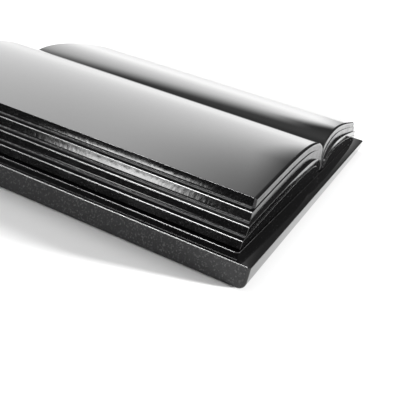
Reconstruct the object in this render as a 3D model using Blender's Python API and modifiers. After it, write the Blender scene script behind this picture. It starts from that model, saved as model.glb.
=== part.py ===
"""Open-book memorial tablet in polished black granite, standing on a flat base slab.

A rectangular base slab carries the two halves of an open book.  Each half is one carved
stone: its fore-edge is cut into four stepped groups of leaves, its top rises to a hump and
rolls down into the gutter.  The halves are bedded on the slab in thin adhesive beds, pinned
with steel dowels, and sealed to each other along the gutter.

Frame: metres, +Z up.  X runs across the two pages, Y along the gutter from foot to head.
The origin is at the middle of the slab's underside.
"""

import math

import bmesh
import bpy

# Base slab
SLAB_WIDTH = 0.700
SLAB_LENGTH = 0.500
SLAB_THICKNESS = 0.020
SLAB_CORNER_RADIUS = 0.0020
SIDE_TOP_ARRIS = 0.0010
SIDE_BOTTOM_RADIUS = 0.0030
END_TOP_RADIUS = 0.0035
END_BOTTOM_RADIUS = 0.0070

# Raised seat on the slab, which shows as a fine line round the book
SEAT_MARGIN = 0.0150
SEAT_HEIGHT = 0.0006
SEAT_CORNER_RADIUS = 0.0040
SEAT_SUNK = 0.0050

# Joints between the stones
CLEARANCE = 0.0003
BED_THICKNESS = 0.0008
BED_SETBACK = 0.0040
BED_CORNER_RADIUS = 0.0060
GUTTER_JOINT = 0.0010
GUTTER_JOINT_SETBACK = 0.0030
GUTTER_JOINT_DROP = 0.0040

# Page blocks: four groups of leaves, counted from the top (0) to the foot (3)
GROUP_COUNT = 4
GROUP_HEIGHT = 0.0085
FOOT_INSET = 0.0060
FORE_EDGE_STEP = 0.0106
END_INSET = 0.0008
END_STEP = 0.0006
GUTTER_STEP = 0.0060
UNDERSIDE_STEP = 0.0001
ARRIS = 0.0010

# Page curve, measured up from the slab's top face
HUMP_REACH = 0.1000
HUMP_HEIGHT = 0.0480
NOTCH_HEIGHT = 0.0290
SHOULDER_DROP = 0.0110
CROWN_TANGENT = 0.0600
EDGE_TANGENT = 0.0600
EDGE_SLOPE = 0.0900
ROLL_SEGMENTS = 16
CROWN_SEGMENTS = 10

# Steel dowels
DOWEL_DIAMETER = 0.0100
DOWEL_IN_SLAB = 0.0110
DOWEL_IN_BLOCK = 0.0240
DOWEL_CHAMFER = 0.0008
DOWEL_SIDES = 24
DOWEL_END_GAP = 0.0010
DOWEL_EDGE_DISTANCE = 0.1100
DOWEL_FROM_GUTTER = 0.1500

CORNER_SEGMENTS = 6
SHARP_ANGLE = math.radians(35.0)

# Rotations that turn a flat outline's extrusion to run along an axis
ALONG_Y = (math.pi / 2, 0, 0)
ALONG_X = (math.pi / 2, 0, math.pi / 2)

# Heights that the stack of pieces gives
SEAT_TOP = SLAB_THICKNESS + SEAT_HEIGHT
BED_BOTTOM = SEAT_TOP + CLEARANCE
BED_TOP = BED_BOTTOM + BED_THICKNESS
BLOCK_BOTTOM = BED_TOP + CLEARANCE
SPINE_GAP = GUTTER_JOINT / 2 + CLEARANCE

# Plan sizes that follow from the slab
SEAT_HALF_WIDTH = SLAB_WIDTH / 2 - SEAT_MARGIN
SEAT_HALF_LENGTH = SLAB_LENGTH / 2 - SEAT_MARGIN
FOOT_X = SEAT_HALF_WIDTH - FOOT_INSET
FOOT_Y = SEAT_HALF_LENGTH - END_INSET

SIDES = {"left": -1, "right": 1}
ENDS = {"foot": -1, "head": 1}


def clear_scene():
    for item in list(bpy.data.objects):
        bpy.data.objects.remove(item, do_unlink=True)


def new_collection(name):
    collection = bpy.data.collections.new(name)
    bpy.context.scene.collection.children.link(collection)
    return collection


def material(name, colour, roughness, metallic=0.0):
    finish = bpy.data.materials.new(name)
    finish.use_nodes = True
    shader = finish.node_tree.nodes["Principled BSDF"]
    shader.inputs["Base Color"].default_value = (*colour, 1.0)
    shader.inputs["Roughness"].default_value = roughness
    shader.inputs["Metallic"].default_value = metallic
    finish.diffuse_color = (*colour, 1.0)
    return finish


def arc(centre_x, centre_z, radius, start, end, segments=CORNER_SEGMENTS):
    """Points along a circular arc, with the angles in degrees."""
    points = []
    for step in range(segments + 1):
        angle = math.radians(start + (end - start) * step / segments)
        points.append((centre_x + radius * math.cos(angle), centre_z + radius * math.sin(angle)))
    return points


def rounded_rectangle(low_x, high_x, low_y, high_y, radii):
    """Outline of a rectangle; radii run from the lower left corner, anticlockwise."""
    lower_left, lower_right, upper_right, upper_left = radii
    points = arc(low_x + lower_left, low_y + lower_left, lower_left, 180, 270)
    points += arc(high_x - lower_right, low_y + lower_right, lower_right, 270, 360)
    points += arc(high_x - upper_right, high_y - upper_right, upper_right, 0, 90)
    points += arc(low_x + upper_left, high_y - upper_left, upper_left, 90, 180)
    return points


def circle(centre_x, centre_y, radius, sides=DOWEL_SIDES):
    return arc(centre_x, centre_y, radius, 0, 360 * (sides - 1) / sides, sides - 1)


def extrude(name, outlines, depth, collection, rotation=(0, 0, 0), location=(0, 0, 0)):
    """A flat outline, with any holes in it, extruded to a solid of the given depth."""
    curve = bpy.data.curves.new(name, "CURVE")
    curve.dimensions = "2D"
    curve.fill_mode = "BOTH"
    curve.extrude = depth / 2
    for outline in outlines:
        spline = curve.splines.new("POLY")
        spline.points.add(len(outline) - 1)
        for point, (x, y) in zip(spline.points, outline):
            point.co = (x, y, 0.0, 1.0)
        spline.use_cyclic_u = True
    guide = bpy.data.objects.new(name + "_outline", curve)
    guide.rotation_euler = rotation
    guide.location = location
    collection.objects.link(guide)
    bpy.context.view_layer.update()
    graph = bpy.context.evaluated_depsgraph_get()
    mesh = bpy.data.meshes.new_from_object(guide.evaluated_get(graph))
    mesh.transform(guide.matrix_world)
    bpy.data.objects.remove(guide, do_unlink=True)
    mesh.name = name
    solid = bpy.data.objects.new(name, mesh)
    collection.objects.link(solid)
    close_mesh(solid)
    return solid


def close_mesh(solid):
    """Joins the caps of an extruded outline to its walls."""
    work = bmesh.new()
    work.from_mesh(solid.data)
    bmesh.ops.remove_doubles(work, verts=work.verts, dist=0.000001)
    bmesh.ops.dissolve_limit(
        work, angle_limit=0.0001, verts=work.verts, edges=work.edges, delimit=set()
    )
    bmesh.ops.recalc_face_normals(work, faces=work.faces)
    work.to_mesh(solid.data)
    work.free()


def cylinder(name, diameter, low_z, high_z, x, y, collection):
    bpy.ops.mesh.primitive_cylinder_add(
        vertices=DOWEL_SIDES,
        radius=diameter / 2,
        depth=high_z - low_z,
        location=(x, y, (low_z + high_z) / 2),
    )
    solid = bpy.context.active_object
    solid.name = name
    solid.data.name = name
    for owner in list(solid.users_collection):
        owner.objects.unlink(solid)
    collection.objects.link(solid)
    return solid


def combine(target, tool, operation):
    modifier = target.modifiers.new(operation.lower() + "_" + tool.name, "BOOLEAN")
    modifier.operation = operation
    modifier.solver = "EXACT"
    modifier.object = tool
    tool.hide_render = True
    tool.display_type = "WIRE"


def bevel(target, width, segments):
    modifier = target.modifiers.new("arris", "BEVEL")
    modifier.width = width
    modifier.segments = segments
    modifier.limit_method = "ANGLE"
    modifier.angle_limit = SHARP_ANGLE
    modifier.use_clamp_overlap = True


def dowel_places():
    """Name suffix, side and position of each dowel."""
    for side_name, side in SIDES.items():
        for end_name, end in ENDS.items():
            x = side * DOWEL_FROM_GUTTER
            y = end * (SLAB_LENGTH / 2 - DOWEL_EDGE_DISTANCE)
            yield side_name + "_" + end_name, side_name, x, y


def page_outline(level):
    """Half-profile of the book under the top of one group of leaves.

    Runs from the gutter over the hump to the fore-edge, then back along the underside.
    x is measured outwards from the gutter.
    """
    above_foot = GROUP_COUNT - 1 - level
    spine_x = SPINE_GAP + level * GUTTER_STEP
    bottom_z = BLOCK_BOTTOM + above_foot * UNDERSIDE_STEP
    drop = level * GROUP_HEIGHT
    peak_z = SLAB_THICKNESS + HUMP_HEIGHT - drop
    roll_z = max(SLAB_THICKNESS + NOTCH_HEIGHT - level * SHOULDER_DROP, BLOCK_BOTTOM)
    edge_x = FOOT_X - above_foot * FORE_EDGE_STEP
    edge_z = SLAB_THICKNESS + (GROUP_COUNT - level) * GROUP_HEIGHT
    points = [(spine_x, bottom_z)]
    for step in range(ROLL_SEGMENTS + 1):
        angle = math.pi / 2 * step / ROLL_SEGMENTS
        x = HUMP_REACH - (HUMP_REACH - spine_x) * math.cos(angle)
        z = roll_z + (peak_z - roll_z) * math.sin(angle)
        if z > bottom_z:
            points.append((x, z))
    handles = (
        (HUMP_REACH, peak_z),
        (HUMP_REACH + CROWN_TANGENT, peak_z),
        (edge_x - EDGE_TANGENT, edge_z + EDGE_TANGENT * EDGE_SLOPE),
        (edge_x, edge_z),
    )
    for step in range(1, CROWN_SEGMENTS + 1):
        points.append(bezier(handles, step / CROWN_SEGMENTS))
    points.append((edge_x, bottom_z))
    return points


def bezier(handles, t):
    weights = ((1 - t) ** 3, 3 * t * (1 - t) ** 2, 3 * t * t * (1 - t), t**3)
    x = sum(weight * handle[0] for weight, handle in zip(weights, handles))
    z = sum(weight * handle[1] for weight, handle in zip(weights, handles))
    return x, z


def base_slab(parts, cutters, finish):
    """Side profile, end profile and plan outline, each extruded, and the common solid kept."""
    half_width = SLAB_WIDTH / 2
    half_length = SLAB_LENGTH / 2
    side_radii = (SIDE_BOTTOM_RADIUS, SIDE_BOTTOM_RADIUS, SIDE_TOP_ARRIS, SIDE_TOP_ARRIS)
    end_radii = (END_BOTTOM_RADIUS, END_BOTTOM_RADIUS, END_TOP_RADIUS, END_TOP_RADIUS)
    side_profile = rounded_rectangle(-half_width, half_width, 0, SLAB_THICKNESS, side_radii)
    end_profile = rounded_rectangle(-half_length, half_length, 0, SLAB_THICKNESS, end_radii)
    plan = rounded_rectangle(
        -half_width, half_width, -half_length, half_length, (SLAB_CORNER_RADIUS,) * 4
    )
    slab = extrude("base_slab", [side_profile], 2 * SLAB_LENGTH, parts, ALONG_Y)
    end_tool = extrude("slab_end_profile", [end_profile], 2 * SLAB_WIDTH, cutters, ALONG_X)
    plan_tool = extrude("slab_plan", [plan], 4 * SLAB_THICKNESS, cutters)
    seat_tool = seat(cutters)
    combine(slab, end_tool, "INTERSECT")
    combine(slab, plan_tool, "INTERSECT")
    combine(slab, seat_tool, "UNION")
    for name, _, x, y in dowel_places():
        socket = cylinder(
            "slab_socket_" + name,
            DOWEL_DIAMETER + 2 * CLEARANCE,
            SEAT_TOP - DOWEL_IN_SLAB - DOWEL_END_GAP,
            SEAT_TOP + SLAB_THICKNESS,
            x,
            y,
            cutters,
        )
        combine(slab, socket, "DIFFERENCE")
    slab.data.materials.append(finish)
    return slab


def seat(cutters):
    outline = rounded_rectangle(
        -SEAT_HALF_WIDTH,
        SEAT_HALF_WIDTH,
        -SEAT_HALF_LENGTH,
        SEAT_HALF_LENGTH,
        (SEAT_CORNER_RADIUS,) * 4,
    )
    middle = SEAT_TOP - (SEAT_HEIGHT + SEAT_SUNK) / 2
    return extrude(
        "slab_seat", [outline], SEAT_HEIGHT + SEAT_SUNK, cutters, location=(0, 0, middle)
    )


def group_solid(name, side, level, collection):
    """The stone under one group of leaves, from end face to end face."""
    outline = [(side * x, z) for x, z in page_outline(level)]
    length = 2 * (FOOT_Y - (GROUP_COUNT - 1 - level) * END_STEP)
    solid = extrude(name, [outline], length, collection, ALONG_Y)
    bevel(solid, ARRIS, 1)
    return solid


def page_block(side_name, side, parts, cutters, finish):
    foot_level = GROUP_COUNT - 1
    block = group_solid(side_name + "_page_block", side, foot_level, parts)
    for level in range(foot_level):
        name = side_name + "_leaves_" + str(level)
        combine(block, group_solid(name, side, level, cutters), "UNION")
    for name, dowel_side, x, y in dowel_places():
        if dowel_side != side_name:
            continue
        socket = cylinder(
            "block_socket_" + name,
            DOWEL_DIAMETER + 2 * CLEARANCE,
            BLOCK_BOTTOM - DOWEL_IN_BLOCK,
            BLOCK_BOTTOM + DOWEL_IN_BLOCK + DOWEL_END_GAP,
            x,
            y,
            cutters,
        )
        combine(block, socket, "DIFFERENCE")
    block.data.materials.append(finish)
    return block


def adhesive_bed(side_name, side, parts, finish):
    inner = side * (SPINE_GAP + BED_SETBACK)
    outer = side * (FOOT_X - BED_SETBACK)
    reach = FOOT_Y - BED_SETBACK
    outlines = [
        rounded_rectangle(
            min(inner, outer), max(inner, outer), -reach, reach, (BED_CORNER_RADIUS,) * 4
        )
    ]
    for _, dowel_side, x, y in dowel_places():
        if dowel_side == side_name:
            outlines.append(circle(x, y, DOWEL_DIAMETER / 2 + CLEARANCE))
    middle = (BED_BOTTOM + BED_TOP) / 2
    bed = extrude(
        side_name + "_adhesive_bed", outlines, BED_THICKNESS, parts, location=(0, 0, middle)
    )
    bed.data.materials.append(finish)
    return bed


def gutter_joint(parts, finish):
    """Strip of sealant between the two spine faces."""
    low_z = BED_BOTTOM
    high_z = SLAB_THICKNESS + NOTCH_HEIGHT - GUTTER_JOINT_DROP
    length = 2 * (FOOT_Y - (GROUP_COUNT - 1) * END_STEP - GUTTER_JOINT_SETBACK)
    bpy.ops.mesh.primitive_cube_add(size=1, location=(0, 0, (low_z + high_z) / 2))
    strip = bpy.context.active_object
    strip.name = "gutter_joint"
    strip.data.name = "gutter_joint"
    strip.scale = (GUTTER_JOINT, length, high_z - low_z)
    bpy.ops.object.transform_apply(location=False, rotation=False, scale=True)
    for owner in list(strip.users_collection):
        owner.objects.unlink(strip)
    parts.objects.link(strip)
    strip.data.materials.append(finish)
    return strip


def dowel(name, x, y, parts, finish):
    low_z = SEAT_TOP - DOWEL_IN_SLAB
    high_z = BLOCK_BOTTOM + DOWEL_IN_BLOCK
    pin = cylinder("dowel_" + name, DOWEL_DIAMETER, low_z, high_z, x, y, parts)
    bevel(pin, DOWEL_CHAMFER, 1)
    pin.data.shade_smooth()
    pin.data.set_sharp_from_angle(angle=SHARP_ANGLE)
    pin.data.materials.append(finish)
    return pin


def main():
    clear_scene()
    parts = new_collection("granite_book_tablet")
    cutters = new_collection("cutters")
    slab_granite = material("slab_granite", (0.022, 0.022, 0.023), 0.12)
    adhesive = material("stone_adhesive", (0.030, 0.030, 0.030), 0.55)
    sealant = material("gutter_sealant", (0.015, 0.015, 0.015), 0.60)
    steel = material("dowel_steel", (0.60, 0.60, 0.61), 0.30, 1.0)
    base_slab(parts, cutters, slab_granite)
    for side_name, side in SIDES.items():
        page_granite = material(side_name + "_page_granite", (0.015, 0.015, 0.016), 0.06)
        page_block(side_name, side, parts, cutters, page_granite)
        adhesive_bed(side_name, side, parts, adhesive)
    gutter_joint(parts, sealant)
    for name, _, x, y in dowel_places():
        dowel(name, x, y, parts, steel)


main()
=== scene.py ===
"""Looks of the open-book granite tablet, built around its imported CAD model.

The base slab and both page blocks are rebuilt as finer meshes with rounded arrises and
separate finishes for polished tops, fore-edges, leaf ends, arrises, unpolished inner corners
and honed sides.  The adhesive beds, the gutter joint and the dowels keep their CAD shape and
get their own materials.
"""

import math

import bmesh
import bpy
import numpy as np
from mathutils import Matrix, Vector


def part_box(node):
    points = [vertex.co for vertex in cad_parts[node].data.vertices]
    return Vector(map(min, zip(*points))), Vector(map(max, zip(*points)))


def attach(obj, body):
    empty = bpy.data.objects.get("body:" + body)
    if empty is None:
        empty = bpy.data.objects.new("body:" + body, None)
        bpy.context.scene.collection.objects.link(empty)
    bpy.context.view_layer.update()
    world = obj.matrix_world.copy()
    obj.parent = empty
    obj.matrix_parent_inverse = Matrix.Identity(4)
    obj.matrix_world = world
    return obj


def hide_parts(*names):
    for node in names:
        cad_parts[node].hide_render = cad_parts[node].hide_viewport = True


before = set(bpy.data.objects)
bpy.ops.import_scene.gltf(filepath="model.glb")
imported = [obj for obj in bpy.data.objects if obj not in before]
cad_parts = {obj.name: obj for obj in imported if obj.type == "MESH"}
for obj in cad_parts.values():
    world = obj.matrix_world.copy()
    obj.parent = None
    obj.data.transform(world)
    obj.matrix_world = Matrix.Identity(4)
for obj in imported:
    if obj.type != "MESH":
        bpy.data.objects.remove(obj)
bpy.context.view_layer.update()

MM = 0.001


def slopes(*angles):
    """Tangents of angles off plumb, in degrees, from the uppermost group of leaves down."""
    return [math.tan(math.radians(angle)) for angle in angles]


# ---------------------------------------------------------------- sizes taken from the frame
_, slab_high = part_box("base_slab")
block_low, block_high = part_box("right_page_block")
SLAB_HALF_WIDTH = slab_high.x
SLAB_HALF_LENGTH = slab_high.y
SEAT_TOP = slab_high.z
SPINE_GAP = block_low.x
FOOT_X = block_high.x
FOOT_Y = block_high.y
BLOCK_BOTTOM = block_low.z

# ---------------------------------------------------------------- slab shape
SEAT_HEIGHT = 0.6 * MM
SLAB_TOP = SEAT_TOP - SEAT_HEIGHT
SEAT_MARGIN = 15 * MM
SEAT_CORNER_RADIUS = 4 * MM
SEAT_ARRIS = 0.35 * MM
SLAB_CORNER_RADIUS = 2 * MM
SIDE_TOP_ARRIS = 0.7 * MM
SIDE_BOTTOM_RADIUS = 3.0 * MM
END_TOP_RADIUS = 1.4 * MM
END_BOTTOM_RADIUS = 7.0 * MM
CORNER_SEGMENTS = 8
ROUND_SEGMENTS = 12

# ---------------------------------------------------------------- page block shape
# Groups of leaves are counted from 0, the uppermost, down.
GROUPS = 4
UPPER_GROUPS = 2
GROUP_HEIGHT = 8.5 * MM
FORE_EDGE_STEP = 10.6 * MM
END_STEP = 0.6 * MM
GUTTER_STEP = 6.0 * MM
UNDERSIDE_STEP = 0.1 * MM
HUMP_REACH = 100 * MM
HUMP_HEIGHT = 48 * MM
NOTCH_HEIGHT = 29 * MM
SHOULDER_DROP = 11 * MM
CROWN_TANGENT = 60 * MM
EDGE_TANGENT = 60 * MM
EDGE_SLOPE = 0.09
ROLL_SEGMENTS = 40
CROWN_SEGMENTS = 40
FACE_BATTER_TOP = slopes(12.0, 15.5, 11.5, 12.0)
FACE_BATTER_FOOT = slopes(17.5, 18.0, 15.0, 13.0)
FACE_SEGMENTS = 6
END_BATTER = slopes(7.0, 7.0, 1.0, 1.0)
ARRIS = 0.8 * MM
ARRIS_SEGMENTS = 3
TOP_END_ROUNDING = 3.0 * MM
LOWER_END_ROUNDING = 0.5 * MM
ROUNDING_RINGS = 6
CORNER_FILLET = 0.7 * MM
FILLET_SINK = 0.2 * MM

# ---------------------------------------------------------------- dowel sockets
DOWEL_DIAMETER = 10 * MM
CLEARANCE = 0.3 * MM
DOWEL_SIDES = 32

# ---------------------------------------------------------------- tolerances
HEIGHT_TOLERANCE = 0.0001 * MM
CURVE_TOLERANCE = 0.001 * MM
SMOOTH_TURN = 0.05  # sine of the turn below which two edges of an outline count as one line
SHARP_ANGLE = math.radians(30.0)

# Order of the material slots on every rebuilt stone
POLISHED, FACE, ARRIS_LINE, ROUGH_CORNER, HONED, LEAF_END = range(6)

# ================================================================ materials
EVEN = (1, 1, 1)
ACROSS_FACE = (1.0, 1.0, 0.5)
ALONG_ROD = (1, 1, 0.03)
NOISE_MIDDLE = (0.3, 0.7)  # nearly all of a noise texture's values lie between these


class Nodes:
    """A small helper that adds and links the nodes of one material."""

    def __init__(self, name):
        self.material = bpy.data.materials.new(name)
        self.material.use_nodes = True
        self.tree = self.material.node_tree
        self.shader = self.tree.nodes["Principled BSDF"]
        place = self.tree.nodes.new("ShaderNodeTexCoord")
        self.place = place.outputs["Object"]

    def add(self, kind, **values):
        node = self.tree.nodes.new(kind)
        for key, value in values.items():
            setattr(node, key, value)
        return node

    def link(self, source, target):
        self.tree.links.new(source, target)

    def noise(self, scale, detail=4.0, roughness=0.55, stretch=EVEN):
        """Noise of so many features a metre; stretch multiplies that along each axis."""
        source = self.place
        if stretch != EVEN:
            mapping = self.add("ShaderNodeMapping")
            mapping.inputs["Scale"].default_value = stretch
            self.link(source, mapping.inputs["Vector"])
            source = mapping.outputs["Vector"]
        node = self.add("ShaderNodeTexNoise")
        node.inputs["Scale"].default_value = scale
        node.inputs["Detail"].default_value = detail
        node.inputs["Roughness"].default_value = roughness
        self.link(source, node.inputs["Vector"])
        return node.outputs["Fac"]

    def cells(self, scale):
        """One random value for each crystal."""
        node = self.add("ShaderNodeTexVoronoi")
        node.inputs["Scale"].default_value = scale
        self.link(self.place, node.inputs["Vector"])
        split = self.add("ShaderNodeSeparateColor")
        self.link(node.outputs["Color"], split.inputs["Color"])
        return split.outputs["Red"]

    def span(self, source, low, high, out_low, out_high):
        """The source's range from low to high, spread over another and held at its ends."""
        node = self.add("ShaderNodeMapRange", clamp=True)
        node.inputs["From Min"].default_value = low
        node.inputs["From Max"].default_value = high
        node.inputs["To Min"].default_value = out_low
        node.inputs["To Max"].default_value = out_high
        self.link(source, node.inputs["Value"])
        return node.outputs["Result"]

    def mix(self, factor, first, second):
        """Colour mix; first and second are colours or sockets."""
        node = self.add("ShaderNodeMix", data_type="RGBA")
        self.link(factor, node.inputs["Factor"])
        for socket, value in zip((node.inputs[6], node.inputs[7]), (first, second)):
            if isinstance(value, tuple):
                socket.default_value = (*value, 1.0)
            else:
                self.link(value, socket)
        return node.outputs[2]

    def bump(self, layers):
        """Stacked bump layers, each (height, strength, distance)."""
        normal = None
        for height, strength, distance in layers:
            node = self.add("ShaderNodeBump")
            node.inputs["Strength"].default_value = strength
            node.inputs["Distance"].default_value = distance
            self.link(height, node.inputs["Height"])
            if normal is not None:
                self.link(normal, node.inputs["Normal"])
            normal = node.outputs["Normal"]
        self.link(normal, self.shader.inputs["Normal"])


# Grain of the granite, the same in every finish; scales are in features a metre
GROUND_SCALE = 260.0
GROUND_MIDDLE = (0.35, 0.65)
CRYSTAL_SCALE = 1100.0
MICA_SCALE = 2100.0
MICA_TINT = 0.7
SPECK_CORE = 0.6  # part of grain_share whose crystals have the grain's full colour
POLISH_SCALE = 38.0
POLISH_DETAIL = 6.0
RIPPLE_ROUGHNESS = 0.5
GRANITE_IOR = 1.55
ARRIS_IOR = 3.4  # chosen for looks, so that the narrow arrises shine as in the photo


def granite(
    name, *, dark, light, grain, grain_share, roughness, ripple, grain_bump, ior=GRANITE_IOR
):
    """Fine black granite: mottled ground mass, scattered pale crystals, polish that varies.

    ripple is the scale, detail, stretch and depth in metres of the surface's waviness.
    """
    m = Nodes(name)
    ground = m.mix(m.span(m.noise(GROUND_SCALE), *GROUND_MIDDLE, 0.0, 1.0), dark, light)
    crystals = m.cells(CRYSTAL_SCALE)
    core = 1.0 - SPECK_CORE * grain_share
    speck = m.span(crystals, 1.0 - grain_share, core, 0.0, 1.0)
    mica = m.span(m.cells(MICA_SCALE), core, 1.0, 0.0, MICA_TINT)
    coloured = m.mix(speck, ground, grain)
    coloured = m.mix(mica, coloured, grain)
    m.link(coloured, m.shader.inputs["Base Color"])
    polish = m.noise(POLISH_SCALE, POLISH_DETAIL)
    m.link(m.span(polish, *NOISE_MIDDLE, *roughness), m.shader.inputs["Roughness"])
    m.shader.inputs["IOR"].default_value = ior
    scale, detail, stretch, depth = ripple
    m.bump(
        [
            (m.noise(scale, detail, RIPPLE_ROUGHNESS, stretch), 1.0, depth),
            (crystals, 1.0, grain_bump),
        ]
    )
    return m.material


polished = granite(
    "polished_granite",
    dark=(0.0025, 0.0025, 0.0028),
    light=(0.0050, 0.0050, 0.0054),
    grain=(0.0160, 0.0160, 0.0165),
    grain_share=0.08,
    roughness=(0.03, 0.07),
    ripple=(6.0, 2.0, EVEN, 0.00004),
    grain_bump=0.0000007,
)
fore_edge = granite(
    "fore_edge_granite",
    dark=(0.0020, 0.0020, 0.0022),
    light=(0.0045, 0.0045, 0.0048),
    grain=(0.0220, 0.0220, 0.0225),
    grain_share=0.08,
    roughness=(0.06, 0.14),
    ripple=(300.0, 3.0, ACROSS_FACE, 0.00006),
    grain_bump=0.0000008,
)
arris_line = granite(
    "arris_granite",
    dark=(0.008, 0.008, 0.008),
    light=(0.020, 0.020, 0.021),
    grain=(0.080, 0.080, 0.080),
    grain_share=0.16,
    roughness=(0.20, 0.30),
    ripple=(90.0, 3.0, EVEN, 0.00003),
    grain_bump=0.000002,
    ior=ARRIS_IOR,
)
rough_corner = granite(
    "unpolished_corner_granite",
    dark=(0.012, 0.012, 0.013),
    light=(0.075, 0.075, 0.076),
    grain=(0.220, 0.220, 0.220),
    grain_share=0.20,
    roughness=(0.45, 0.70),
    ripple=(160.0, 4.0, EVEN, 0.00016),
    grain_bump=0.000030,
)
honed = granite(
    "honed_granite",
    dark=(0.0042, 0.0042, 0.0049),
    light=(0.0105, 0.0105, 0.0118),
    grain=(0.0620, 0.0620, 0.0630),
    grain_share=0.14,
    roughness=(0.38, 0.55),
    ripple=(60.0, 4.0, EVEN, 0.00006),
    grain_bump=0.000006,
)
leaf_end = granite(
    "leaf_end_granite",
    dark=(0.0020, 0.0020, 0.0022),
    light=(0.0040, 0.0040, 0.0043),
    grain=(0.0160, 0.0160, 0.0165),
    grain_share=0.08,
    roughness=(0.14, 0.26),
    ripple=(40.0, 3.0, EVEN, 0.00006),
    grain_bump=0.0000008,
)
STONE = [polished, fore_edge, arris_line, rough_corner, honed, leaf_end]

# Cured resin and sealant; the ratios are to the scale of the mottling
SKIN_SCALE_RATIO = 0.4
PIT_SCALE_RATIO = 2.0
PIT_STRENGTH = 0.8
PIT_DEPTH = 0.0001


def filler(name, dark, light, roughness, scale):
    """Cured resin or sealant: faint mottling, a dull skin and small pits."""
    m = Nodes(name)
    m.link(m.mix(m.noise(scale), dark, light), m.shader.inputs["Base Color"])
    skin = m.noise(scale * SKIN_SCALE_RATIO)
    m.link(m.span(skin, *NOISE_MIDDLE, *roughness), m.shader.inputs["Roughness"])
    m.bump([(m.noise(scale * PIT_SCALE_RATIO), PIT_STRENGTH, PIT_DEPTH)])
    return m.material


adhesive = filler(
    "cured_adhesive", (0.012, 0.012, 0.012), (0.040, 0.040, 0.040), (0.45, 0.65), 420.0
)
sealant = filler(
    "cured_sealant", (0.008, 0.008, 0.008), (0.020, 0.020, 0.020), (0.50, 0.70), 300.0
)

SCRATCH_SCALE = 900.0
SCRATCH_DETAIL = 2.0
SCRATCH_ROUGHNESS = 0.5
SCRATCH_STRENGTH = 0.4
SCRATCH_DEPTH = 0.00002
STEEL_DARK = (0.50, 0.50, 0.51)
STEEL_LIGHT = (0.66, 0.66, 0.67)
STEEL_GLOSS = (0.22, 0.40)


def steel():
    """Drawn stainless rod, with fine scratches along its length."""
    m = Nodes("brushed_steel")
    scratches = m.noise(SCRATCH_SCALE, SCRATCH_DETAIL, SCRATCH_ROUGHNESS, ALONG_ROD)
    m.link(m.mix(scratches, STEEL_DARK, STEEL_LIGHT), m.shader.inputs["Base Color"])
    m.shader.inputs["Metallic"].default_value = 1.0
    m.link(m.span(scratches, *NOISE_MIDDLE, *STEEL_GLOSS), m.shader.inputs["Roughness"])
    m.bump([(scratches, SCRATCH_STRENGTH, SCRATCH_DEPTH)])
    return m.material


dowel_steel = steel()


# ================================================================ shape helpers
def rounded_rectangle(half_x, half_y, radius):
    """Anticlockwise outline; always the same number of points, so that rings can be joined."""
    points = []
    for quarter, (sx, sy) in enumerate(((1, 1), (-1, 1), (-1, -1), (1, -1))):
        centre = (sx * (half_x - radius), sy * (half_y - radius))
        for step in range(CORNER_SEGMENTS + 1):
            angle = math.pi / 2 * (quarter + step / CORNER_SEGMENTS)
            points.append(
                (centre[0] + radius * math.cos(angle), centre[1] + radius * math.sin(angle))
            )
    return points


def loft(name, rings, marks, cap=POLISHED):
    """Closed mesh through rings of equal length.

    marks(band, index) gives each face its material slot, and cap is the slot of both ends.
    """
    work = bmesh.new()
    layers = [[work.verts.new(point) for point in ring] for ring in rings]
    count = len(rings[0])
    for band, (lower, upper) in enumerate(zip(layers, layers[1:])):
        for index in range(count):
            following = (index + 1) % count
            face = work.faces.new(
                (lower[index], lower[following], upper[following], upper[index])
            )
            face.material_index = marks(band, index)
    work.faces.new(list(reversed(layers[0]))).material_index = cap
    work.faces.new(layers[-1]).material_index = cap
    bmesh.ops.recalc_face_normals(work, faces=work.faces)
    mesh = bpy.data.meshes.new(name)
    work.to_mesh(mesh)
    work.free()
    for material in STONE:
        mesh.materials.append(material)
    piece = bpy.data.objects.new(name, mesh)
    bpy.context.scene.collection.objects.link(piece)
    return piece


def combine(target, tool, operation):
    """Adds a boolean modifier that joins the tool to the target or cuts it out."""
    modifier = target.modifiers.new(operation.lower(), "BOOLEAN")
    modifier.operation = operation
    modifier.solver = "EXACT"
    modifier.object = tool


def settle(piece, tools):
    """Applies the modifiers, removes the tools and smooths what isn't a real edge."""
    bpy.context.view_layer.update()
    graph = bpy.context.evaluated_depsgraph_get()
    mesh = bpy.data.meshes.new_from_object(piece.evaluated_get(graph))
    piece.modifiers.clear()
    old = piece.data
    piece.data = mesh
    mesh.name = piece.name
    bpy.data.meshes.remove(old)
    for tool in tools:
        bpy.data.objects.remove(tool, do_unlink=True)
    mesh.shade_smooth()
    mesh.set_sharp_from_angle(angle=SHARP_ANGLE)
    weighted = piece.modifiers.new("weighted_normals", "WEIGHTED_NORMAL")
    weighted.mode = "FACE_AREA"
    weighted.keep_sharp = True


def socket_tools(prefix):
    """Cylinders that clear each CAD dowel whose name starts with the prefix."""
    tools = []
    radius = DOWEL_DIAMETER / 2 + CLEARANCE
    for name in sorted(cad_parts):
        if not name.startswith(prefix):
            continue
        low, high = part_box(name)
        rings = []
        for z in (low.z - CLEARANCE, high.z + CLEARANCE):
            ring = []
            for step in range(DOWEL_SIDES):
                angle = math.tau * step / DOWEL_SIDES
                x = (low.x + high.x) / 2 + radius * math.cos(angle)
                y = (low.y + high.y) / 2 + radius * math.sin(angle)
                ring.append((x, y, z))
            rings.append(ring)
        tools.append(loft("socket_" + name, rings, lambda band, index: ROUGH_CORNER))
    return tools


# ================================================================ base slab
def inset(height, radius):
    """How far an edge's quarter-round stands back at this height from the top or underside."""
    left = min(max(radius - height, 0.0), radius)
    return radius - math.sqrt(max(radius * radius - left * left, 0.0))


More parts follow.
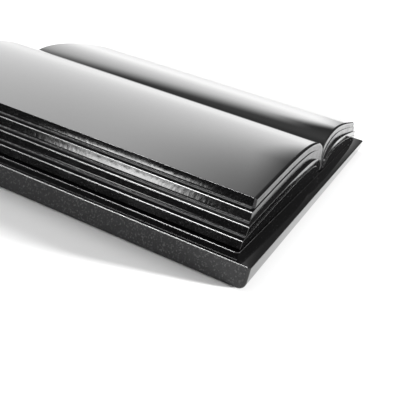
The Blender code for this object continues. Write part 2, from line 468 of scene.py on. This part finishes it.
def build_slab():
    """The slab with rounded ends, arrises along its sides, its raised seat and sockets."""
    quarter = [math.pi / 2 * step / ROUND_SEGMENTS for step in range(ROUND_SEGMENTS + 1)]
    heights = {END_BOTTOM_RADIUS * (1 - math.cos(angle)) for angle in quarter}
    heights |= {SLAB_TOP - END_TOP_RADIUS * math.cos(angle) for angle in quarter}
    heights.add(SLAB_TOP - SIDE_TOP_ARRIS)
    rings = []
    for z in sorted(heights):
        side_inset = inset(z, SIDE_BOTTOM_RADIUS)
        side_inset += inset(SLAB_TOP - z, SIDE_TOP_ARRIS)
        end_inset = inset(z, END_BOTTOM_RADIUS) + inset(SLAB_TOP - z, END_TOP_RADIUS)
        plan = rounded_rectangle(
            SLAB_HALF_WIDTH - side_inset, SLAB_HALF_LENGTH - end_inset, SLAB_CORNER_RADIUS
        )
        rings.append([(x, y, z) for x, y in plan])
    side_bands = len(rings) - 1
    for margin, z in (
        (SEAT_MARGIN, SLAB_TOP),
        (SEAT_MARGIN, SEAT_TOP - SEAT_ARRIS),
        (SEAT_MARGIN + SEAT_ARRIS, SEAT_TOP),
    ):
        plan = rounded_rectangle(
            SLAB_HALF_WIDTH - margin, SLAB_HALF_LENGTH - margin, SEAT_CORNER_RADIUS
        )
        rings.append([(x, y, z) for x, y in plan])
    seat_arris_band = len(rings) - 2
    corner = CORNER_SEGMENTS + 1

    def mark(band, index):
        if band >= side_bands:
            return ARRIS_LINE if band == seat_arris_band else POLISHED
        on_long_side = index % corner == CORNER_SEGMENTS and (index // corner) % 2 == 1
        if not on_long_side:
            return POLISHED
        low_z = rings[band][0][2]
        arris_start = SLAB_TOP - SIDE_TOP_ARRIS - HEIGHT_TOLERANCE
        return ARRIS_LINE if low_z >= arris_start else HONED

    slab = loft("slab_body", rings, mark)
    tools = socket_tools("dowel_")
    for tool in tools:
        combine(slab, tool, "DIFFERENCE")
    settle(slab, tools)
    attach(slab, "root")
    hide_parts("base_slab")


# ================================================================ page blocks
def bezier(handles, t):
    """Point of a cubic curve with four (x, z) handles."""
    weights = ((1 - t) ** 3, 3 * t * (1 - t) ** 2, 3 * t * t * (1 - t), t**3)
    x = sum(weight * handle[0] for weight, handle in zip(weights, handles))
    z = sum(weight * handle[1] for weight, handle in zip(weights, handles))
    return x, z


def page_curve(level):
    """Top of one group of leaves, from the gutter over the hump to the fore-edge."""
    drop = level * GROUP_HEIGHT
    spine_x = SPINE_GAP + level * GUTTER_STEP
    peak_z = SLAB_TOP + HUMP_HEIGHT - drop
    roll_z = max(SLAB_TOP + NOTCH_HEIGHT - level * SHOULDER_DROP, BLOCK_BOTTOM)
    edge_x = FOOT_X - (GROUPS - 1 - level) * FORE_EDGE_STEP
    edge_z = SLAB_TOP + (GROUPS - level) * GROUP_HEIGHT
    points = []
    for step in range(ROLL_SEGMENTS + 1):
        angle = math.pi / 2 * step / ROLL_SEGMENTS
        x = HUMP_REACH - (HUMP_REACH - spine_x) * math.cos(angle)
        points.append((x, roll_z + (peak_z - roll_z) * math.sin(angle)))
    handles = (
        (HUMP_REACH, peak_z),
        (HUMP_REACH + CROWN_TANGENT, peak_z),
        (edge_x - EDGE_TANGENT, edge_z + EDGE_TANGENT * EDGE_SLOPE),
        (edge_x, edge_z),
    )
    points += [bezier(handles, step / CROWN_SEGMENTS) for step in range(1, CROWN_SEGMENTS + 1)]
    return points


def group_outline(level):
    """Closed profile of one group, the material slot of each edge and the arris point's index.

    It runs from the underside at the gutter over the top to the fore-edge, down the flared
    face and its rough corner, and back along the underside.
    """
    bottom_z = BLOCK_BOTTOM + (GROUPS - 1 - level) * UNDERSIDE_STEP
    curve = [point for point in page_curve(level) if point[1] > bottom_z + CURVE_TOLERANCE]
    points = [(curve[0][0], bottom_z)] + curve
    arris_index = len(points) - 1
    edge_x, edge_z = points[-1]
    edges = [POLISHED] * (len(points) - 1)
    if level < GROUPS - 1:
        below = page_curve(level + 1)
        tread_z = float(np.interp(edge_x + ARRIS, *zip(*below)))
        face_foot = tread_z + CORNER_FILLET
    else:
        face_foot = bottom_z
    height = edge_z - face_foot
    top_batter, foot_batter = FACE_BATTER_TOP[level], FACE_BATTER_FOOT[level]
    for step in range(1, FACE_SEGMENTS + 1):
        t = step / FACE_SEGMENTS
        swell = top_batter * t - (top_batter - foot_batter) * t * t / 2
        points.append((edge_x + height * swell, edge_z - height * t))
        edges.append(FACE)
    if level < GROUPS - 1:
        fillet_x = points[-1][0] + CORNER_FILLET + FILLET_SINK
        points.append((fillet_x, tread_z - FILLET_SINK))
        points.append((fillet_x, bottom_z))
        edges += [ROUGH_CORNER, FACE]
    edges.append(POLISHED)
    return points, edges, arris_index


def shrink(points, depth):
    """The outline with every edge but the underside moved inwards by depth."""
    count = len(points)
    normals = []
    for index in range(count):
        (x0, z0), (x1, z1) = points[index], points[(index + 1) % count]
        length = math.hypot(x1 - x0, z1 - z0)
        normals.append(((z1 - z0) / length, -(x1 - x0) / length))
    moved = []
    for index, (x, z) in enumerate(points):
        before, after = normals[index - 1], normals[index]
        before_depth = 0.0 if index == 0 else depth
        after_depth = 0.0 if index == count - 1 else depth
        cross = before[0] * after[1] - before[1] * after[0]
        if abs(cross) < SMOOTH_TURN:
            shift = (after[0] * after_depth, after[1] * after_depth)
        else:
            shift = (
                (before_depth * after[1] - after_depth * before[1]) / cross,
                (after_depth * before[0] - before_depth * after[0]) / cross,
            )
        moved.append((x + shift[0], z + shift[1]))
    return moved


def build_group(name, side, level):
    """One group of leaves as a solid, with ends that lean back and rounded edges."""
    outline, edges, arris_index = group_outline(level)
    rounding = TOP_END_ROUNDING if level == 0 else LOWER_END_ROUNDING
    reach = FOOT_Y - (GROUPS - 1 - level) * END_STEP
    rings = []
    for step in range(ROUNDING_RINGS + 1):
        angle = math.pi / 2 * (1 - step / ROUNDING_RINGS)
        depth = rounding * (1 - math.cos(angle))
        back = rounding * (1 - math.sin(angle))
        ring = []
        for (x, z), (_, plain_z) in zip(shrink(outline, depth), outline):
            batter = (plain_z - BLOCK_BOTTOM) * END_BATTER[level]
            ring.append((side * x, -(reach - back - batter), z))
        rings.append(ring)
    rings += [[(x, -y, z) for x, y, z in ring] for ring in reversed(rings)]
    cap = LEAF_END if level < UPPER_GROUPS else POLISHED
    solid = loft(name, rings, lambda band, index: edges[index], cap)
    weights = solid.data.attributes.new("bevel_weight_edge", "FLOAT", "EDGE")
    count = len(outline)
    for edge in solid.data.edges:
        a, b = edge.vertices
        if a % count == arris_index and b % count == arris_index:
            weights.data[edge.index].value = 1.0
    bevel = solid.modifiers.new("arris", "BEVEL")
    bevel.limit_method = "WEIGHT"
    bevel.width = ARRIS
    bevel.segments = ARRIS_SEGMENTS
    bevel.material = ARRIS_LINE
    return solid


def build_block(side_name, side):
    """One page block: its four groups of leaves joined into one stone, with its sockets."""
    node = side_name + "_page_block"
    block = build_group(side_name + "_pages", side, GROUPS - 1)
    tools = []
    for level in reversed(range(GROUPS - 1)):
        tool = build_group(side_name + "_leaves_" + str(level), side, level)
        combine(block, tool, "UNION")
        tools.append(tool)
    for tool in socket_tools("dowel_" + side_name):
        combine(block, tool, "DIFFERENCE")
        tools.append(tool)
    settle(block, tools)
    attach(block, "root")
    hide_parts(node)


# ================================================================ CAD nodes that stay
def finish_node(name, material):
    """Gives a CAD node's object its one material."""
    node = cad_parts[name]
    node.data.materials.clear()
    node.data.materials.append(material)


# ================================================================ camera and floor
CAMERA_PLACE = (-0.7155, -0.3165, 0.1912)
CAMERA_AZIMUTH = math.radians(72.20)
CAMERA_ELEVATION = math.radians(-19.50)
CAMERA_ROLL = math.radians(15.05)
CAMERA_LENS = 50.34
CAMERA_CLIP_START = 0.01
SENSOR = 36.0

FLOOR_HALF = 9.0
FLOOR_Z = 0.0
FLOOR_DARK = (0.86, 0.86, 0.86)
FLOOR_LIGHT = (0.90, 0.90, 0.90)
FLOOR_TINT_SCALE = 3.0
FLOOR_SKIN_SCALE = 9.0
FLOOR_ROUGHNESS = (0.75, 0.9)


def add_camera():
    """The photo's view, across the pages from the left near the foot, with a rolled camera."""
    forward = Vector(
        (
            math.cos(CAMERA_ELEVATION) * math.sin(CAMERA_AZIMUTH),
            math.cos(CAMERA_ELEVATION) * math.cos(CAMERA_AZIMUTH),
            math.sin(CAMERA_ELEVATION),
        )
    )
    level_right = forward.cross(Vector((0, 0, 1))).normalized()
    level_up = level_right.cross(forward)
    right = level_right * math.cos(CAMERA_ROLL) + level_up * math.sin(CAMERA_ROLL)
    up = level_up * math.cos(CAMERA_ROLL) - level_right * math.sin(CAMERA_ROLL)
    data = bpy.data.cameras.new("camera")
    data.sensor_width = SENSOR
    data.lens = CAMERA_LENS
    data.clip_start = CAMERA_CLIP_START
    camera = bpy.data.objects.new("camera", data)
    bpy.context.scene.collection.objects.link(camera)
    turn = Matrix((right, up, -forward)).transposed().to_4x4()
    camera.matrix_world = Matrix.Translation(CAMERA_PLACE) @ turn
    bpy.context.scene.camera = camera


def add_floor():
    """A wide pale floor, faintly uneven in tint and gloss."""
    mesh = bpy.data.meshes.new("studio_floor")
    corners = [
        (x * FLOOR_HALF, y * FLOOR_HALF, FLOOR_Z)
        for x, y in ((-1, -1), (1, -1), (1, 1), (-1, 1))
    ]
    mesh.from_pydata(corners, [], [(0, 1, 2, 3)])
    m = Nodes("studio_floor")
    m.link(
        m.mix(m.noise(FLOOR_TINT_SCALE), FLOOR_DARK, FLOOR_LIGHT), m.shader.inputs["Base Color"]
    )
    skin = m.noise(FLOOR_SKIN_SCALE)
    m.link(m.span(skin, *NOISE_MIDDLE, *FLOOR_ROUGHNESS), m.shader.inputs["Roughness"])
    mesh.materials.append(m.material)
    floor = bpy.data.objects.new("studio_floor", mesh)
    bpy.context.scene.collection.objects.link(floor)
    return floor


# ================================================================ light
def compass(bearing, elevation):
    """Unit vector towards a bearing and elevation in degrees."""
    flat = math.cos(math.radians(elevation))
    return Vector(
        (
            flat * math.sin(math.radians(bearing)),
            flat * math.cos(math.radians(bearing)),
            math.sin(math.radians(elevation)),
        )
    )


def add_sun(name, bearing, elevation, spread, strength, floor_only=None):
    """A lamp that casts shadows and isn't mirrored in the stone.

    Where floor_only is given, the lamp lights that floor and nothing else.
    """
    data = bpy.data.lights.new(name, "SUN")
    data.energy = strength
    data.angle = math.radians(spread)
    lamp = bpy.data.objects.new(name, data)
    bpy.context.scene.collection.objects.link(lamp)
    lamp.rotation_euler = compass(bearing, elevation).to_track_quat("Z", "Y").to_euler()
    lamp.visible_glossy = False
    if floor_only is not None:
        lit = bpy.data.collections.new(name + "_lit")
        lit.objects.link(floor_only)
        lamp.light_linking.receiver_collection = lit


# The studio's light, by compass bearing (0 along +Y, 90 along +X) and elevation, in degrees.
# Two angles are where a light starts to change and where the change is complete, and four are
# its rise and then its fall. ARRIS_LAMP is a bearing and an elevation instead, and its reach
# gives the angles away from there where its glow starts and where it is full.
FULL_TURN = 360.0
SOFTBOX_START = (-35.0, 5.0)
SOFTBOX_END = (81.0, 87.0)
SOFTBOX_LEAN_ELEVATIONS = (10.0, 22.0)
SOFTBOX_LEAN = (0.0, 6.0)
SOFTBOX_TOP = 36.0
SOFTBOX_TOP_BEARING = 54.0
SOFTBOX_TOP_FALL = 0.5
SOFTBOX_SOFTNESS = 10.0
SOFTBOX_GLOW = (1.80, 1.92)
SOFTBOX_GLOW_BEARINGS = (54.0, 78.0)
SOFTBOX_FOOT_SHARE = 0.50
SOFTBOX_FOOT = (-4.0, 9.0)
ROOM_GLOW = (0.07, 0.33)
ROOM_RISE = (15.0, 46.0)
WINDOW_BEARINGS = (-74.0, -66.0, -61.0, -55.0)
WINDOW_ELEVATIONS = (10.5, 12.5, 17.0, 19.0)
WINDOW_GLOW = 16.0
BACK_BOX_BEARINGS = (112.0, 128.0, 246.0, 264.0)
BACK_BOX_ELEVATIONS = (22.0, 40.0)
BACK_BOX_GLOW = 1.1
SIDE_BOX_BEARINGS = (-130.0, -116.0, -97.0, -85.0)
SIDE_BOX_ELEVATIONS = (16.0, 26.0, 36.0, 50.0)
SIDE_BOX_GLOW = 0.8
ARRIS_LAMP = (-26.0, 71.0)
ARRIS_LAMP_REACH = (16.0, 4.0)
ARRIS_LAMP_GLOW = 13.0
BACKDROP_GLOW = 1.6


def add_world():
    """A dim room with soft lights in it, which the polished stone mirrors.

    A wide softbox faces the camera across the stone.  A small bright window and two dimmer
    boxes stand behind the camera, and a lamp overhead brightens the arrises.
    """
    world = bpy.data.worlds.new("studio")
    world.use_nodes = True
    bpy.context.scene.world = world
    tree = world.node_tree
    background = tree.nodes["Background"]
    background.inputs["Color"].default_value = (1.0, 1.0, 1.0, 1.0)

    def ramp(source, low, high, out_low, out_high, smooth=True):
        node = tree.nodes.new("ShaderNodeMapRange")
        node.interpolation_type = "SMOOTHSTEP" if smooth else "LINEAR"
        node.inputs["From Min"].default_value = low
        node.inputs["From Max"].default_value = high
        node.inputs["To Min"].default_value = out_low
        node.inputs["To Max"].default_value = out_high
        tree.links.new(source, node.inputs["Value"])
        return node.outputs["Result"]

    def band(source, edges):
        """The two factors of a strip of light: its rise and its fall."""
        return ramp(source, *edges[:2], 0.0, 1.0), ramp(source, *edges[2:], 1.0, 0.0)

    def compute(operation, *values):
        node = tree.nodes.new("ShaderNodeMath")
        node.operation = operation
        for slot, value in zip(node.inputs, values):
            if isinstance(value, float):
                slot.default_value = value
            else:
                tree.links.new(value, slot)
        return node.outputs["Value"]

    def product(*values):
        result = values[0]
        for value in values[1:]:
            result = compute("MULTIPLY", result, value)
        return result

    place = tree.nodes.new("ShaderNodeTexCoord")
    split = tree.nodes.new("ShaderNodeSeparateXYZ")
    tree.links.new(place.outputs["Generated"], split.inputs["Vector"])
    bearing = compute("DEGREES", compute("ARCTAN2", split.outputs["X"], split.outputs["Y"]))
    elevation = compute("DEGREES", compute("ARCSINE", split.outputs["Z"]))

    past = compute("SUBTRACT", bearing, SOFTBOX_TOP_BEARING)
    raised = compute("ADD", elevation, compute("MULTIPLY", past, SOFTBOX_TOP_FALL))
    lean = ramp(elevation, *SOFTBOX_LEAN_ELEVATIONS, *SOFTBOX_LEAN, smooth=False)
    leaning = compute("ADD", bearing, lean)
    softbox = product(
        ramp(raised, SOFTBOX_TOP - SOFTBOX_SOFTNESS, SOFTBOX_TOP + SOFTBOX_SOFTNESS, 1.0, 0.0),
        ramp(bearing, *SOFTBOX_START, 0.0, 1.0),
        ramp(leaning, *SOFTBOX_END, 1.0, 0.0),
        ramp(bearing, *SOFTBOX_GLOW_BEARINGS, *SOFTBOX_GLOW, smooth=False),
        ramp(elevation, *SOFTBOX_FOOT, SOFTBOX_FOOT_SHARE, 1.0),
    )
    window = product(
        *band(bearing, WINDOW_BEARINGS), *band(elevation, WINDOW_ELEVATIONS), WINDOW_GLOW
    )
    # the back box straddles the bearing where the compass wraps round
    turned = compute("MODULO", compute("ADD", bearing, FULL_TURN), FULL_TURN)
    back_box = product(
        *band(turned, BACK_BOX_BEARINGS),
        ramp(elevation, *BACK_BOX_ELEVATIONS, 1.0, 0.0),
        BACK_BOX_GLOW,
    )
    side_box = product(
        *band(bearing, SIDE_BOX_BEARINGS), *band(elevation, SIDE_BOX_ELEVATIONS), SIDE_BOX_GLOW
    )
    # the lamp overhead shows only in reflections, so it casts no light on the floor
    ray = tree.nodes.new("ShaderNodeLightPath")
    near_lamp = tree.nodes.new("ShaderNodeVectorMath")
    near_lamp.operation = "DOT_PRODUCT"
    near_lamp.inputs[1].default_value = compass(*ARRIS_LAMP)
    tree.links.new(place.outputs["Generated"], near_lamp.inputs[0])
    reach = [math.cos(math.radians(angle)) for angle in ARRIS_LAMP_REACH]
    arris_lamp = product(
        ramp(near_lamp.outputs["Value"], *reach, 0.0, 1.0),
        ray.outputs["Is Glossy Ray"],
        ARRIS_LAMP_GLOW,
    )
    glow = ramp(elevation, *ROOM_RISE, *ROOM_GLOW)
    for source in (softbox, window, back_box, side_box, arris_lamp):
        glow = compute("ADD", glow, source)

    # past the floor's far edge the backdrop is plain white, from whichever side it is seen
    seen = tree.nodes.new("ShaderNodeMix")
    tree.links.new(ray.outputs["Is Camera Ray"], seen.inputs["Factor"])
    tree.links.new(glow, seen.inputs["A"])
    seen.inputs["B"].default_value = BACKDROP_GLOW
    tree.links.new(seen.outputs["Result"], background.inputs["Strength"])


# ================================================================ assembly
build_slab()
for side_name, side in (("left", -1), ("right", 1)):
    build_block(side_name, side)
    finish_node(side_name + "_adhesive_bed", adhesive)
finish_node("gutter_joint", sealant)
for name in sorted(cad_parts):
    if name.startswith("dowel_"):
        finish_node(name, dowel_steel)

studio_floor = add_floor()
add_camera()
add_world()
# low_key draws the shadow beside the slab, and overhead_fill evens out the floor
add_sun(
    "low_key", bearing=154.5, elevation=6.0, spread=8.5, strength=23.0, floor_only=studio_floor
)
add_sun("overhead_fill", bearing=80.0, elevation=40.0, spread=60.0, strength=0.4)
bpy.context.scene.view_settings.view_transform = "Standard"
